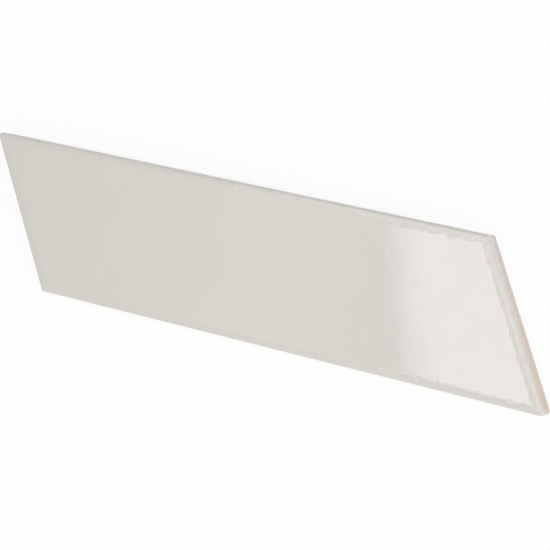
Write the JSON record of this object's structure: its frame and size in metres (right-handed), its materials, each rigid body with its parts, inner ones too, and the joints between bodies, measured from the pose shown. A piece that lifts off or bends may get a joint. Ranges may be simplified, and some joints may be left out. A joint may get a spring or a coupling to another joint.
{
  "type": "chevron wall tile",
  "caption": "Parallelogram ceramic wall tile with a glossy off-white glazed face, softly rolled edges and a pocketed back that keys into adhesive.",
  "frame": {"origin": "middle of the tile's back, on the plane it rests on", "axes": "+X along the long edges, +Y across them, +Z out of the glazed face"},
  "size_m": [0.2142, 0.052, 0.0083],
  "materials": {
    "glazed_tile": "gloss"
  },
  "bodies": {
    "root": {"chevron_tile": "glazed_tile"}
  },
  "joints": []
}
